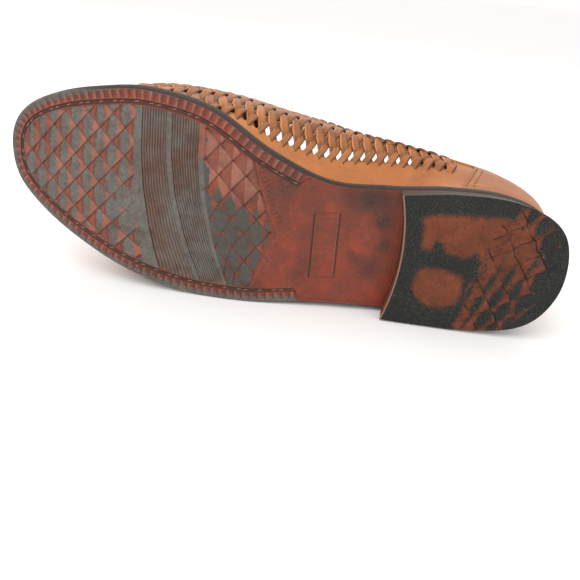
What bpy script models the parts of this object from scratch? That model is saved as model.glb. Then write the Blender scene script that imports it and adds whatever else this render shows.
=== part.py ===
# A slip-on shoe for the right foot, with a woven leather upper on a low heel.
# It is empty and lies on its lateral side, on the edge of its sole and the side of its upper.
#
# Each piece is shaped as the shoe stands: x runs forward from the back of the heel, y towards
# the medial side and z up from the heel's tread. The empty "lie" then tips the whole shoe over.
# "turn" goes once round the shoe: 0 at the back of the heel, pi at the toe, medial side first.

import math

import bmesh
import bpy
import numpy as np
from mathutils import Matrix, Vector

MM = 0.001
LENGTH = 300 * MM  # outsole, heel to toe
HEEL_UP = 14 * MM  # under the seat
HEEL_FRONT = 86 * MM  # breast, at its corners
HEEL_HOLLOW = 5 * MM  # how far the breast curves back in its middle
HEEL_SKEW = 3.5 * MM  # how much further forward the medial corner is
HEEL_FLARE = 2 * MM  # how far the tread stands out past the seat
HEEL_MIDDLE = (43 * MM, -2 * MM)
SHANK_END = 170 * MM  # where the arch meets the flat of the forefoot
FLAT_END = 205 * MM  # where the toe starts to spring
TOE_SPRING = 19 * MM
SHANK_TWIST = 0.29  # the lateral edge of the shank is lower than the medial one

OUTSOLE = 5 * MM
WELT = 3.4 * MM
INSOLE = 4.5 * MM
UPPER_WALL = 2 * MM
COUNTER_WALL = 1.2 * MM
GAP = 0.3 * MM
COUNTER_GAP = 0.4 * MM
WELT_UNDER_UPPER = 3.5 * MM
BACK_LEAN = -1 * MM  # the back of the upper bulges past the back of the sole
TOE_LEAN = 292 * MM  # where its toe ends

STATIONS = (15, 8, 13)  # on each side: heel to waist, waist to throat, throat to toe
WAIST = 150 * MM
ACROSS = 6  # strips across a plate
UP = 14  # rows up the wall
COUNTER_UP = 11

# Half widths at each station, in mm: of the sole's edge and of the widest line of the upper,
# with that line's height above the welt.
FORM = (
    "x    sole_medial  sole_lateral  side_medial  side_lateral  side_up",
    (0, -2.0, 2.0, -2.0, 2.0, 24),
    (8, 23.5, 24.5, 23.5, 23.5, 24),
    (34, 33.5, 35.5, 34.0, 34.5, 25),
    (64, 31.0, 39.5, 38.0, 39.0, 27),
    (95, 24.0, 42.0, 40.5, 41.5, 27),
    (125, 21.5, 45.5, 41.5, 45.0, 26),
    (158, 32.0, 51.5, 45.0, 49.5, 25),
    (190, 46.5, 53.5, 48.5, 51.0, 25),
    (222, 49.5, 49.5, 48.0, 47.0, 22),
    (254, 42.5, 39.5, 40.5, 37.0, 19),
    (282, 30.5, 26.0, 28.5, 23.5, 15),
    (296, 17.5, 13.0, 16.0, 11.0, 13),
    (300, 3.5, -3.5, 3.0, -3.0, 12),
)
# The ridge over the instep and toe: how high it is, and how far it lies to the medial side.
RIDGE = (
    "x    up    y",
    (38, 120.0, -1),
    (100, 120.0, 0),
    (125, 114.0, 1),
    (145, 106.0, 1.5),
    (160, 98.5, 2),
    (175, 90.0, 2.5),
    (190, 80.5, 3),
    (210, 69.0, 3),
    (230, 59.5, 2.5),
    (247, 52.5, 2),
    (262, 47.5, 2),
    (280, 43.5, 2),
    (300, 40.0, 2),
)
RIDGE_BACK = 38 * MM  # every column of the wall leans towards a point on the ridge, and these
RIDGE_FRONT = 262 * MM  # are the points for the heel and the toe
THROAT = 180 * MM  # where the collar crosses the ridge
# The height of the collar on the column that leans towards each point of the ridge.
COLLAR = (
    "x    up",
    (38, 83.0),
    (52, 76.0),
    (67, 64.0),
    (82, 56.0),
    (98, 52.5),
    (112, 51.5),
    (127, 52.0),
    (142, 56.0),
    (155, 62.0),
    (165, 70.0),
    (173, 78.0),
    (180, 87.0),
)
# How far the upper is set in from the edge of the sole.
MARGIN = (
    "x    inset",
    (0, 1.0),
    (60, 1.0),
    (110, 1.5),
    (150, 2.5),
    (200, 3.5),
    (300, 3.5),
)
COUNTER_START = 0.05  # how far up the wall the back counter starts
COUNTER_BELOW = 0.01  # and how far under the collar it ends
# The front edge of the back counter slopes back as it rises.
COUNTER_FOOT = 58 * MM
COUNTER_TOP = 50 * MM

LEATHER = (0.48, 0.20, 0.07)
RED_RUBBER = (0.19, 0.065, 0.04)
DARK_EDGE = (0.07, 0.055, 0.05)
HEEL_RUBBER = (0.05, 0.045, 0.04)
LINING = (0.42, 0.26, 0.14)


def column(table, name):
    """One named column of a table, in metres."""
    return np.array([row[table[0].split().index(name)] for row in table[1:]]) * MM


def smooth(places, values, at):
    """A smooth curve through a table's values."""
    step = np.diff(places)
    slope = np.diff(values) / step
    inner = (slope[:-1] * step[1:] + slope[1:] * step[:-1]) / (step[1:] + step[:-1])
    tangent = np.concatenate([slope[:1], inner, slope[-1:]])
    at = np.clip(at, places[0], places[-1])
    k = np.clip(np.searchsorted(places, at, side="right") - 1, 0, len(places) - 2)
    t = (at - places[k]) / step[k]
    start = (1 + 2 * t) * (1 - t) ** 2 * values[k] + t * (1 - t) ** 2 * step[k] * tangent[k]
    end = t**2 * (3 - 2 * t) * values[k + 1] - t**2 * (1 - t) * step[k] * tangent[k + 1]
    return start + end


def turn_at(x):
    """The turn, up to pi, at which the sole's edge reaches x."""
    return np.arccos(1 - 2 * np.asarray(x) / LENGTH)


FORM_TURNS = turn_at(column(FORM, "x"))


def half_turn(turn):
    """(True on the medial side, turn counted from the heel on either side)."""
    turn = np.mod(turn, 2 * math.pi)
    medial = turn <= math.pi
    return medial, np.where(medial, turn, 2 * math.pi - turn)


def form_line(name, turn, back=0.0, front=LENGTH):
    """(x, y) on the sole's edge or on the upper's widest line."""
    medial, t = half_turn(turn)
    x = back + (front - back) * (1 - np.cos(t)) / 2
    inner = smooth(FORM_TURNS, column(FORM, name + "_medial"), t)
    outer = smooth(FORM_TURNS, column(FORM, name + "_lateral"), t)
    return x, np.where(medial, inner, -outer)


def sole_line(turn, inset=0.0):
    """(x, y) on the sole's edge, moved in by inset."""
    small = 1e-4
    x, y = form_line("sole", turn)
    x_before, y_before = form_line("sole", turn - small)
    x_after, y_after = form_line("sole", turn + small)
    along = np.stack([x_after - x_before, y_after - y_before])
    along = along / np.hypot(*along)
    return x + along[1] * inset, y - along[0] * inset


def margin(turn):
    x = LENGTH * (1 - np.cos(half_turn(turn)[1])) / 2
    return smooth(column(MARGIN, "x"), column(MARGIN, "inset"), x)


def underside(x, y):
    """Height of the outsole's underside: level on the heel, arched, flat under the ball, then sprung."""
    spring = TOE_SPRING * np.clip((x - FLAT_END) / (LENGTH - FLAT_END), 0, 1.2) ** 1.8
    share = np.clip((SHANK_END - x) / (SHANK_END - HEEL_FRONT - 5 * MM), 0, 1)
    arch = HEEL_UP * share**2 * (3 - 2 * share)
    past_seat = np.clip((x - 60 * MM) / (40 * MM), 0, 1)
    return spring + arch * (1 + SHANK_TWIST * past_seat * y / (35 * MM))


def upper_point(turn, rise, out=0.0):
    """A point on the upper's outer face. rise is 0 at the welt, 1 at the widest line and 2 at the
    ridge. out moves the point off the face, along its normal."""
    if out:
        small = 1e-3
        around = upper_point(turn + small, rise) - upper_point(turn - small, rise)
        up = upper_point(turn, rise + small) - upper_point(turn, rise - small)
        normal = np.cross(up, around)
        return upper_point(turn, rise) + out * normal / np.linalg.norm(normal, axis=-1, keepdims=True)
    t = half_turn(turn)[1]
    foot_x, foot_y = sole_line(turn, margin(turn))
    foot_z = underside(foot_x, foot_y) + OUTSOLE + WELT + 2 * GAP
    side_x, side_y = form_line("side", turn, BACK_LEAN, TOE_LEAN)
    side_z = foot_z + smooth(FORM_TURNS, column(FORM, "side_up"), t)
    ridge_x = RIDGE_BACK + (RIDGE_FRONT - RIDGE_BACK) * (1 - np.cos(t)) / 2
    ridge_y = smooth(column(RIDGE, "x"), column(RIDGE, "y"), ridge_x)
    low = np.clip(rise, 0, 1)
    ease = low**2 * (3 - 2 * low)
    angle = np.clip(rise - 1, 0, 1) * math.pi / 2
    inwards = np.maximum(np.cos(angle), 0) ** 0.9
    upwards = np.sin(angle) ** 0.96
    x = ridge_x + (side_x - ridge_x) * inwards
    y = ridge_y + (side_y - ridge_y) * inwards
    ridge_z = smooth(column(RIDGE, "x"), column(RIDGE, "up"), x)
    z = side_z + (ridge_z - side_z) * upwards
    foot_to_side = (
        foot_x + (side_x - foot_x) * ease,
        foot_y + (side_y - foot_y) * ease,
        foot_z + (side_z - foot_z) * low,
    )
    return np.where(np.expand_dims(rise > 1, -1), np.stack((x, y, z), -1), np.stack(foot_to_side, -1))


def ridge_turn(x):
    """The turn, up to pi, of the column that leans towards this point of the ridge."""
    return math.acos(1 - 2 * (x - RIDGE_BACK) / (RIDGE_FRONT - RIDGE_BACK))


def collar_rise(turn):
    """How far up the wall the collar cuts it, 2 where the vamp closes over the ridge."""
    t = half_turn(turn)[1]
    ridge_x = RIDGE_BACK + (RIDGE_FRONT - RIDGE_BACK) * (1 - np.cos(t)) / 2
    if ridge_x > THROAT - 1e-6:
        return 2.0
    height = smooth(column(COLLAR, "x"), column(COLLAR, "up"), ridge_x)
    rises = np.linspace(1, 2, 401)
    return np.interp(height, upper_point(np.full_like(rises, turn), rises)[:, 2], rises)


def side_turns():
    """The turns of the stations from heel to toe, with one on the throat."""
    marks = (0, ridge_turn(WAIST), ridge_turn(THROAT), math.pi)
    spans = [
        np.linspace(start, end, count, endpoint=False)
        for start, end, count in zip(marks, marks[1:], STATIONS)
    ]
    return np.concatenate([*spans, [math.pi]])


def all_turns():
    """The stations of both sides, once round the shoe."""
    side = side_turns()
    return np.concatenate([side, -side[-2:0:-1]])


def material(name, colour, roughness):
    made = bpy.data.materials.new(name)
    made.use_nodes = True
    shader = made.node_tree.nodes["Principled BSDF"]
    shader.inputs["Base Color"].default_value = (*colour, 1)
    shader.inputs["Roughness"].default_value = roughness
    shader.inputs["Metallic"].default_value = 0
    return made


def quads(shape, rows, closed=False):
    """Faces between rows of points, each row above the last one where they run up a wall. closed joins
    each row's end to its start."""
    made = [[shape.verts.new(point) for point in row] for row in rows]
    for low, high in zip(made, made[1:]):
        for i in range(len(low) if closed else len(low) - 1):
            k = (i + 1) % len(low)
            shape.faces.new((low[k], low[i], high[i], high[k]))
    return made


def piece(name, shape, finish, collection, lie, solid=True):
    """The bmesh as a named object. A solid one has its faces turned out."""
    bmesh.ops.remove_doubles(shape, verts=shape.verts[:], dist=1e-6)
    if solid:
        bmesh.ops.recalc_face_normals(shape, faces=shape.faces[:])
    mesh = bpy.data.meshes.new(name)
    shape.to_mesh(mesh)
    shape.free()
    mesh.materials.append(finish)
    mesh.shade_smooth()
    mesh.set_sharp_from_angle(angle=math.radians(50))
    obj = bpy.data.objects.new(name, mesh)
    collection.objects.link(obj)
    obj.parent = lie
    return obj


def solidify(obj, thickness, offset):
    """Gives an open surface a wall: inwards at offset -1, outwards at 1."""
    modifier = obj.modifiers.new("wall", "SOLIDIFY")
    modifier.thickness = thickness
    modifier.offset = offset
    modifier.use_even_offset = True


def plate(inset, low, high):
    """A plate that follows the sole's shape, between two heights above the underside."""
    rings = []
    for turn in side_turns():
        medial = np.stack(sole_line(turn, inset(turn)))
        lateral = np.stack(sole_line(-turn, inset(-turn)))
        line = [lateral + (medial - lateral) * k / ACROSS for k in range(ACROSS + 1)]
        ring = [(x, y, underside(x, y) + low) for x, y in line]
        rings.append(ring + [(x, y, underside(x, y) + high) for x, y in reversed(line)])
    shape = bmesh.new()
    quads(shape, rings, closed=True)
    return shape


def welt_shape():
    """A flat ring between the outsole and the upper, as wide as its margin and what the upper covers."""
    turns = all_turns()
    low, high = OUTSOLE + GAP, OUTSOLE + GAP + WELT
    outer = np.stack(sole_line(turns), axis=-1)
    inner = np.stack(sole_line(turns, margin(turns) + WELT_UNDER_UPPER), axis=-1)
    rows = [
        [(x, y, underside(x, y) + up) for x, y in line]
        for line, up in ((outer, low), (outer, high), (inner, high), (inner, low), (outer, low))
    ]
    shape = bmesh.new()
    quads(shape, rows, closed=True)
    return shape


def heel_point(share, across, up):
    """share runs from the back of the heel to its breast, across from -1 at the lateral side to 1,
    and up from 0 at the tread to 1 at the seat."""
    hollow = HEEL_SKEW * across - HEEL_HOLLOW * (1 - across**2)
    x = HEEL_FRONT * (1 - math.cos(share * math.pi / 2)) + hollow * share**3
    turn = turn_at(x)
    inner, outer = sole_line(turn)[1], sole_line(-turn)[1]
    y = outer + (inner - outer) * (across + 1) / 2
    top = underside(x, y) - GAP
    flare = 1 + HEEL_FLARE * (1 - up) / (35 * MM)
    y = HEEL_MIDDLE[1] + (y - HEEL_MIDDLE[1]) * flare
    if x < HEEL_MIDDLE[0]:
        x = HEEL_MIDDLE[0] + (x - HEEL_MIDDLE[0]) * flare
    return x, y, top * up


def heel_shape():
    """A block from its level tread up to the seat, with a hollow breast."""
    steps = np.linspace(-1, 1, ACROSS + 3)
    rings = []
    for share in np.linspace(0, 1, 17):
        ring = [heel_point(share, across, 0) for across in steps]
        rings.append(ring + [heel_point(share, across, 1) for across in reversed(steps)])
    shape = bmesh.new()
    breast = quads(shape, rings, closed=True)[-1]
    for k in range(len(steps) - 1):
        shape.faces.new((breast[k], breast[k + 1], breast[-2 - k], breast[-1 - k]))
    return shape


def upper_shape():
    """The outer face of the vamp and quarters, open under the foot and at the collar."""
    turns = all_turns()
    tops = np.array([collar_rise(turn) for turn in turns])
    shape = bmesh.new()
    quads(shape, [upper_point(turns, tops * k / UP) for k in range(UP + 1)], closed=True)
    bmesh.ops.triangulate(shape, faces=shape.faces[:], quad_method="SHORT_EDGE")
    return shape


def counter_shape():
    """The inner face of the back counter, just off the upper, from the welt to the collar."""
    shares = np.linspace(-1, 1, 25)
    foot, top = turn_at(COUNTER_FOOT), turn_at(COUNTER_TOP)
    levels = np.linspace(0, 1, COUNTER_UP + 1)
    rises = COUNTER_START + (collar_rise(foot) - COUNTER_START) * levels
    heights = upper_point(np.full_like(rises, foot), rises)[:, 2]
    leans = (heights - heights[0]) / (heights[-1] - heights[0])
    rows = []
    for level, lean in zip(levels, leans):
        turns = shares * (foot + (top - foot) * lean)
        tops = np.array([collar_rise(turn) for turn in turns]) - COUNTER_BELOW
        rows.append(upper_point(turns, COUNTER_START + (tops - COUNTER_START) * level, COUNTER_GAP))
    shape = bmesh.new()
    quads(shape, rows)
    return shape


def lying(points):
    """The matrix that lays the standing shoe on its lateral side. It rests on the edge of its sole at
    ball and heel, and on the part of its upper that meets the floor first."""
    onto_side = Matrix(((-1, 0, 0), (0, 0, 1), (0, 1, 0)))
    laid = points @ np.array(onto_side).T
    touching = laid[laid[:, 2] < laid[:, 2].min() + 1e-6]
    ball = touching[touching[:, 1].argmax()]
    laid = laid - ball
    behind = laid[laid[:, 0] > 50 * MM]
    level = Matrix.Rotation(np.arctan2(behind[:, 2], behind[:, 0]).min(), 3, "Y")
    laid = laid @ np.array(level).T
    heels = laid[laid[:, 0] > 50 * MM]
    heel = Vector(heels[heels[:, 2].argmin()])
    reach = laid @ np.array((-heel.y, heel.x, 0)) / heel.length
    beside = reach > 20 * MM
    tip = Matrix.Rotation(-np.arctan2(laid[beside, 2], reach[beside]).min(), 3, heel)
    toe_way = tip @ level @ onto_side @ Vector((1, 0, 0))
    along_x = Matrix.Rotation(math.pi - math.atan2(toe_way.y, toe_way.x), 3, "Z")
    turned = along_x @ tip @ level @ onto_side
    laid = points @ np.array(turned).T
    low, high = laid.min(axis=0), laid.max(axis=0)
    middle = (low + high) / 2
    return Matrix.Translation((-middle[0], -middle[1], -low[2])) @ turned.to_4x4()


def points_of(objects):
    """All the evaluated points of the objects."""
    graph = bpy.context.evaluated_depsgraph_get()
    found = []
    for obj in objects:
        mesh = obj.evaluated_get(graph).to_mesh()
        found += [tuple(vertex.co) for vertex in mesh.vertices]
    return np.array(found)


def build():
    for obj in list(bpy.data.objects):
        bpy.data.objects.remove(obj)
    shoe = bpy.data.collections.new("slip_on_shoe")
    bpy.context.scene.collection.children.link(shoe)
    lie = bpy.data.objects.new("lie", None)
    shoe.objects.link(lie)

    leather = material("upper leather", LEATHER, 0.55)
    red = material("red rubber", RED_RUBBER, 0.6)
    dark = material("dark edge", DARK_EDGE, 0.5)
    black = material("heel rubber", HEEL_RUBBER, 0.8)
    lining = material("insole leather", LINING, 0.7)

    outsole = piece("outsole", plate(np.zeros_like, 0, OUTSOLE), red, shoe, lie)
    heel = piece("heel", heel_shape(), black, shoe, lie)
    welt = piece("welt", welt_shape(), dark, shoe, lie)
    board = plate(lambda turn: margin(turn) + WELT_UNDER_UPPER + GAP, OUTSOLE + GAP, OUTSOLE + GAP + INSOLE)
    insole = piece("insole", board, lining, shoe, lie)
    upper = piece("upper", upper_shape(), leather, shoe, lie, solid=False)
    solidify(upper, UPPER_WALL, -1)
    counter = piece("back_counter", counter_shape(), leather, shoe, lie, solid=False)
    solidify(counter, COUNTER_WALL, 1)

    lie.matrix_world = lying(points_of((outsole, heel, welt, insole, upper, counter)))


build()
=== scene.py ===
import math

import bmesh
import bpy
import numpy as np
from mathutils import Matrix, Vector


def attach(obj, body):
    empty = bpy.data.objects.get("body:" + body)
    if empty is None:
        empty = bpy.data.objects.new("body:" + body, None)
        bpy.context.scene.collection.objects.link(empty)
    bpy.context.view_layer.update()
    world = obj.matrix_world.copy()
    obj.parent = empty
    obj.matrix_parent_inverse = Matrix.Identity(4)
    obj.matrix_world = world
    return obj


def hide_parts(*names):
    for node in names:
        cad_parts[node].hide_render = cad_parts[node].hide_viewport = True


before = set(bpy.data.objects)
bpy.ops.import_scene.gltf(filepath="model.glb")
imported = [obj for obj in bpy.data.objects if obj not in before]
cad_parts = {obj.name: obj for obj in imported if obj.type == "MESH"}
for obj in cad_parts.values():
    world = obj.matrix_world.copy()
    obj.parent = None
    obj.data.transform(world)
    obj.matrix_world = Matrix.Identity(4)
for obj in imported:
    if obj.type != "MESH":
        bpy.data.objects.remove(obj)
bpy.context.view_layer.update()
mm = 0.001

# Everything is modelled in mm on the standing shoe: x forward from the back of the heel, y to the
# medial side, z up from the heel's tread. This matrix lays it on its side, where the CAD lies.
lay = Matrix((
    (-0.9950801, 0.0990519, -0.0020952, 0.1478681),
    (0.0, 0.0211487, 0.9997764, -0.0428923),
    (0.0990741, 0.9948575, -0.0210447, 0.0358593),
    (0.0, 0.0, 0.0, 1.0),
))

# camera, in mm on the standing shoe, and lamps, in metres on the floor
look = {
    "spot": (134.3, 107.1, -306.4),
    "aim": (0.009, -0.438, 0.899),
    "down": (-0.227, -0.877, -0.425),
    "lens": 38.7,
    "sensor": 36,
    "nearest": 0.01,
    "shift": (0.0127, 0.0088),
}
lamps = {
    "window": {"spot": (-0.55, -0.75, 1.15), "size": 1.0, "power": 7.5},
    "fill": {"spot": (0.75, -1.1, 0.55), "size": 1.4, "power": 3},
    "back": {"spot": (0.2, 1.2, 1.0), "size": 1.2, "power": 5},
}
sky = {"colour": (1, 0.99, 0.975, 1), "strength": 1.0}


def placeCamera():
    turn = lay.to_3x3()
    aim = (turn @ Vector(look["aim"])).normalized()
    right = (turn @ Vector(look["down"])).cross(aim).normalized()
    up = right.cross(aim).normalized()
    data = bpy.data.cameras.new("camera")
    data.lens, data.sensor_width, data.clip_start = look["lens"], look["sensor"], look["nearest"]
    data.shift_x, data.shift_y = look["shift"]
    camera = bpy.data.objects.new("camera", data)
    bpy.context.scene.collection.objects.link(camera)
    axes = Matrix((right, up, -aim)).transposed().to_4x4()
    camera.matrix_world = Matrix.Translation(lay @ (Vector(look["spot"]) * mm)) @ axes
    bpy.context.scene.camera = camera


def hangLamps():
    for name, lamp in lamps.items():
        data = bpy.data.lights.new(name, "AREA")
        data.energy, data.size = lamp["power"], lamp["size"]
        light = bpy.data.objects.new(name, data)
        light.location = lamp["spot"]
        light.rotation_euler = (-Vector(lamp["spot"])).to_track_quat("-Z", "Y").to_euler()
        bpy.context.scene.collection.objects.link(light)
    world = bpy.data.worlds.new("studio")
    world.use_nodes = True
    shade = world.node_tree.nodes["Background"].inputs
    shade["Color"].default_value, shade["Strength"].default_value = sky["colour"], sky["strength"]
    bpy.context.scene.world = world
    bpy.context.scene.view_settings.view_transform = "Standard"


placeCamera()
hangLamps()
print("camera and lamps")


# node helpers, which all work on the finish that is being made
making = {}


def startFinish(name, roughness, specular=0.5):
    finish = bpy.data.materials.new(name)
    finish.use_nodes = True
    shader = finish.node_tree.nodes["Principled BSDF"]
    shader.inputs["Roughness"].default_value = roughness
    shader.inputs["Specular IOR Level"].default_value = specular
    making.update(finish=finish, tree=finish.node_tree, shader=shader)


def plug(value, socket):
    if isinstance(value, bpy.types.NodeSocket):
        making["tree"].links.new(value, socket)
    elif socket.type == "RGBA":
        socket.default_value = (*value, 1)
    else:
        socket.default_value = value


def addNode(kind, inputs, **settings):
    node = making["tree"].nodes.new("ShaderNode" + kind)
    for name, value in settings.items():
        setattr(node, name, value)
    for socket, value in inputs.items():
        plug(value, node.inputs[socket])
    return node


def reading(name):
    return addNode("Attribute", {}, attribute_name=name).outputs["Fac"]


def place(stretch=(1, 1, 1)):
    coords = addNode("TexCoord", {}).outputs["Object"]
    return addNode("Mapping", {"Vector": coords, "Scale": stretch}).outputs["Vector"]


def noise(scale, detail=4.0, rough=0.6, where=None):
    inputs = {"Scale": scale, "Detail": detail, "Roughness": rough, "Vector": where or place()}
    return addNode("TexNoise", inputs).outputs["Fac"]


def cells(scale):
    return addNode("TexVoronoi", {"Scale": scale, "Vector": place()}).outputs["Distance"]


def sums(work, first, second, third=0.0):
    return addNode("Math", {0: first, 1: second, 2: third}, operation=work).outputs[0]


def plus(first, second):
    return sums("ADD", first, second)


def times(first, second, more=None):
    return sums("MULTIPLY", first, second) if more is None else sums("MULTIPLY_ADD", first, second, more)


def lineGap(score):
    return sums("PINGPONG", score, 1.0)


def between(value, low, high, start=0.0, end=1.0):
    inputs = {"Value": value, "From Min": low, "From Max": high, "To Min": start, "To Max": end}
    return addNode("MapRange", inputs).outputs["Result"]


def blend(share, first, second):
    return addNode("Mix", {0: share, 6: first, 7: second}, data_type="RGBA").outputs[2]


def coats(colour, *layers):
    # each layer is a share and the colour that it brings
    for share, paint in layers:
        colour = blend(share, colour, paint)
    return colour


def wear(colour, height, depth, roughness=None):
    bump = addNode("Bump", {"Height": height, "Distance": depth * mm, "Strength": 1.0})
    plug(bump.outputs["Normal"], making["shader"].inputs["Normal"])
    plug(colour, making["shader"].inputs["Base Color"])
    if roughness is not None:
        plug(roughness, making["shader"].inputs["Roughness"])
    return making["finish"]


# finishes
tan = {
    "light": (0.575, 0.213, 0.062),
    "middle": (0.43, 0.143, 0.036),
    "dark": (0.105, 0.036, 0.014),
    "handled": (0.27, 0.088, 0.030),
    # cut: the colour of a painted highlight along one edge of each strip
    "cut": (0.72, 0.36, 0.20),
}


def tanLeather():
    startFinish("tan leather", 0.5, 0.4)
    cloud = between(noise(22, 5, 0.65), 0.36, 0.66)
    shade = times(noise(260, 3), 0.35, reading("shade"))
    colour = coats(
        blend(cloud, tan["middle"], tan["light"]),
        (between(noise(150, 4, 0.7, place((0.35, 1, 1))), 0.45, 0.75, 0.0, 0.35), tan["handled"]),
        (between(noise(60, 3), 0.60, 0.72, 0.0, 0.4), tan["handled"]),
        # painted shade where the shade reading is high, and a painted highlight where it falls below 0
        (between(shade, 0.35, 1.15, 0.0, 0.9), tan["dark"]),
        (between(shade, 0.0, -0.5, 0.0, 0.7), tan["cut"]),
    )
    pores = between(cells(1400), 0.0, 0.45)
    return wear(colour, times(noise(500, 4), 0.8, pores), 0.10, between(cloud, 0, 1, 0.56, 0.44))


red = {
    "plain": (0.242, 0.036, 0.016),
    "orange": (0.298, 0.060, 0.024),
    "pink": (0.360, 0.144, 0.098),
    "brown": (0.138, 0.032, 0.018),
    "smudge": (0.046, 0.018, 0.015),
    "worn": (0.164, 0.152, 0.135),
    "wornDark": (0.095, 0.088, 0.081),
    "groove": (0.030, 0.014, 0.012),
    "bright": (0.240, 0.048, 0.028),
    "grubby": (0.052, 0.056, 0.052),
    "grime": (0.070, 0.033, 0.023),
    "dust": (0.42, 0.33, 0.27),
    "rib": (0.200, 0.192, 0.170),
    "ribDark": (0.180, 0.100, 0.072),
    # each scored line's reading, half width and strength
    "lines": (("scoreA", 0.085, 0.75), ("scoreB", 0.06, 0.45)),
}


def redRubber():
    startFinish("red rubber", 0.6, 0.3)
    tone, smudge, scored = reading("tone"), reading("smudge"), reading("scored")
    plain = coats(
        blend(between(noise(20, 4, 0.55), 0.35, 0.68), red["brown"], red["plain"]),
        (between(noise(75, 4), 0.45, 0.72, 0, 0.45), red["orange"]),
        # pinker where the tone reading is above 0 and more orange below it: painted light on the lozenges' facets,
        # the rim's bars and the pressed lines, real tone on the plain bands and the threads
        (between(tone, 0.0, 1.0, 0.0, 0.75), red["pink"]),
        (between(tone, 0.0, -1.0, 0.0, 0.8), red["orange"]),
        (between(times(smudge, between(noise(48, 6, 0.7), 0.25, 0.6)), 0.05, 0.75), red["smudge"]),
        (between(smudge, -0.1, -0.9), red["bright"]),
        (between(cells(420), 0.10, 0.04, 0.0, 0.6), red["brown"]),
    )
    dusty = plus(reading("worn"), times(noise(480, 5, 0.8), 0.95, -0.475))
    worn = between(dusty, -0.06, 0.06)
    grey = blend(between(noise(900, 4, 0.7), 0.32, 0.66), red["wornDark"], red["worn"])
    ribbed = times(noise(500, 4, 0.7), 0.5, plus(reading("ribbed"), -0.25))
    ribGrey = blend(between(noise(38, 5, 0.7), 0.38, 0.62), red["ribDark"], red["rib"])
    # scored lines between the lozenges, darkened with painted shade, faint where the rubber is rubbed
    clean = between(worn, 0.0, 1.0, 1.0, 0.35)
    lines = []
    for score, width, force in red["lines"]:
        cut = times(between(lineGap(reading(score)), width, width * 0.3, 0.0, force), scored)
        lines.append((times(cut, clean), red["groove"]))
    # a painted highlight beside each line of the second family
    shine = times(between(lineGap(plus(reading("scoreB"), 0.085)), 0.05, 0.01), scored)
    pores = between(cells(850), 0.24, 0.12, 0.0, 0.55)
    colour = coats(
        plain,
        # painted shade: a dark fringe round each rubbed place, stronger on the facets painted darker
        (times(between(dusty, -0.20, -0.05), between(tone, 0.1, -0.2, 0.1, 0.75)), red["groove"]),
        (worn, grey),
        (between(ribbed, 0.25, 0.7), ribGrey),
        *lines,
        (times(times(shine, clean), 0.7), red["pink"]),
        (times(worn, reading("grubby")), red["grubby"]),
        # the dark reading: painted shade in the ribs' grooves, the channel and the notches after the bars; it also
        # darkens the sole's outer wall and the pressed marks
        (reading("dark"), red["groove"]),
        # grime in soft patches, dark pores and pale dust
        (between(noise(130, 6, 0.78), 0.42, 0.68, 0.0, 0.62), red["grime"]),
        (times(pores, between(noise(300, 3), 0.46, 0.60)), red["groove"]),
        (between(noise(1500, 3, 0.8), 0.60, 0.74, 0.0, 0.42), red["dust"]),
    )
    grain = plus(noise(700, 4), times(noise(2200, 2), worn))
    return wear(colour, grain, 0.10, between(worn, 0, 1, 0.5, 0.85))


heelPaint = {
    "black": (0.0110, 0.0120, 0.0110),
    "dust": (0.046, 0.049, 0.042),
    "flour": (0.25, 0.26, 0.23),
    "brown": (0.108, 0.032, 0.015),
    "rust": (0.192, 0.052, 0.024),
    "stain": (0.066, 0.018, 0.012),
    "crumb": (0.36, 0.37, 0.34),
    "side": (0.043, 0.026, 0.017),
    "sideDark": (0.030, 0.018, 0.014),
    "breast": (0.135, 0.052, 0.028),
    "lip": (0.26, 0.15, 0.095),
    "groove": (0.010, 0.009, 0.008),
    # each crooked line's reading and strength
    "lines": (("scoreA", 0.6), ("scoreB", 0.9)),
}


def heelRubber():
    startFinish("heel rubber", 0.85, 0.25)
    scored = reading("scored")
    flour = times(between(noise(1900, 2, 0.8), 0.63, 0.72, 0.0, 0.75), between(noise(70, 4), 0.4, 0.6))
    black = coats(
        blend(between(noise(1300, 3, 0.85), 0.44, 0.66), heelPaint["black"], heelPaint["dust"]),
        (flour, heelPaint["flour"]),
        (between(noise(60, 3), 0.35, 0.7, 0.35, 0.0), heelPaint["black"]),
    )
    stain = times(between(noise(120, 6, 0.8), 0.46, 0.62, 0.0, 0.75), between(scored, 0, 1, 0.25, 1))
    brown = coats(
        blend(between(noise(70, 6, 0.75), 0.35, 0.65), heelPaint["brown"], heelPaint["rust"]),
        (between(noise(420, 4, 0.8), 0.55, 0.72, 0.0, 0.5), heelPaint["sideDark"]),
        (stain, heelPaint["stain"]),
    )
    bare = plus(reading("bare"), times(noise(130, 6, 0.8), 1.5, -0.75))
    bare = times(noise(1250, 4, 0.9), 3.2, plus(bare, -1.6))
    lines = []
    for score, force in heelPaint["lines"]:
        crooked = plus(times(noise(170, 4), 0.8, reading(score)), -0.4)
        line = times(between(lineGap(crooked), 0.10, 0.03), scored)
        line = times(line, between(noise(90, 2), 0.40, 0.52, 0.25, 1.0))
        lines.append((times(line, force), heelPaint["groove"]))
    pits = times(between(cells(330), 0.16, 0.10, 0.0, 0.85), between(noise(110, 3), 0.46, 0.58))
    crumbs = times(between(cells(240), 0.055, 0.03, 0.0, 0.55), between(noise(190, 2), 0.52, 0.58))
    side = reading("side")
    colour = coats(
        black,
        (between(bare, -0.25, 0.3), brown),
        (pits, heelPaint["black"]),
        (crumbs, heelPaint["crumb"]),
        *lines,
        (side, blend(noise(90, 4), heelPaint["side"], heelPaint["sideDark"])),
        (reading("breast"), heelPaint["breast"]),
        (reading("rim"), heelPaint["lip"]),
    )
    grain = plus(noise(900, 5, 0.7), noise(300, 3))
    return wear(colour, grain, 0.22, between(side, 0, 1, 0.85, 0.5))


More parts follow.
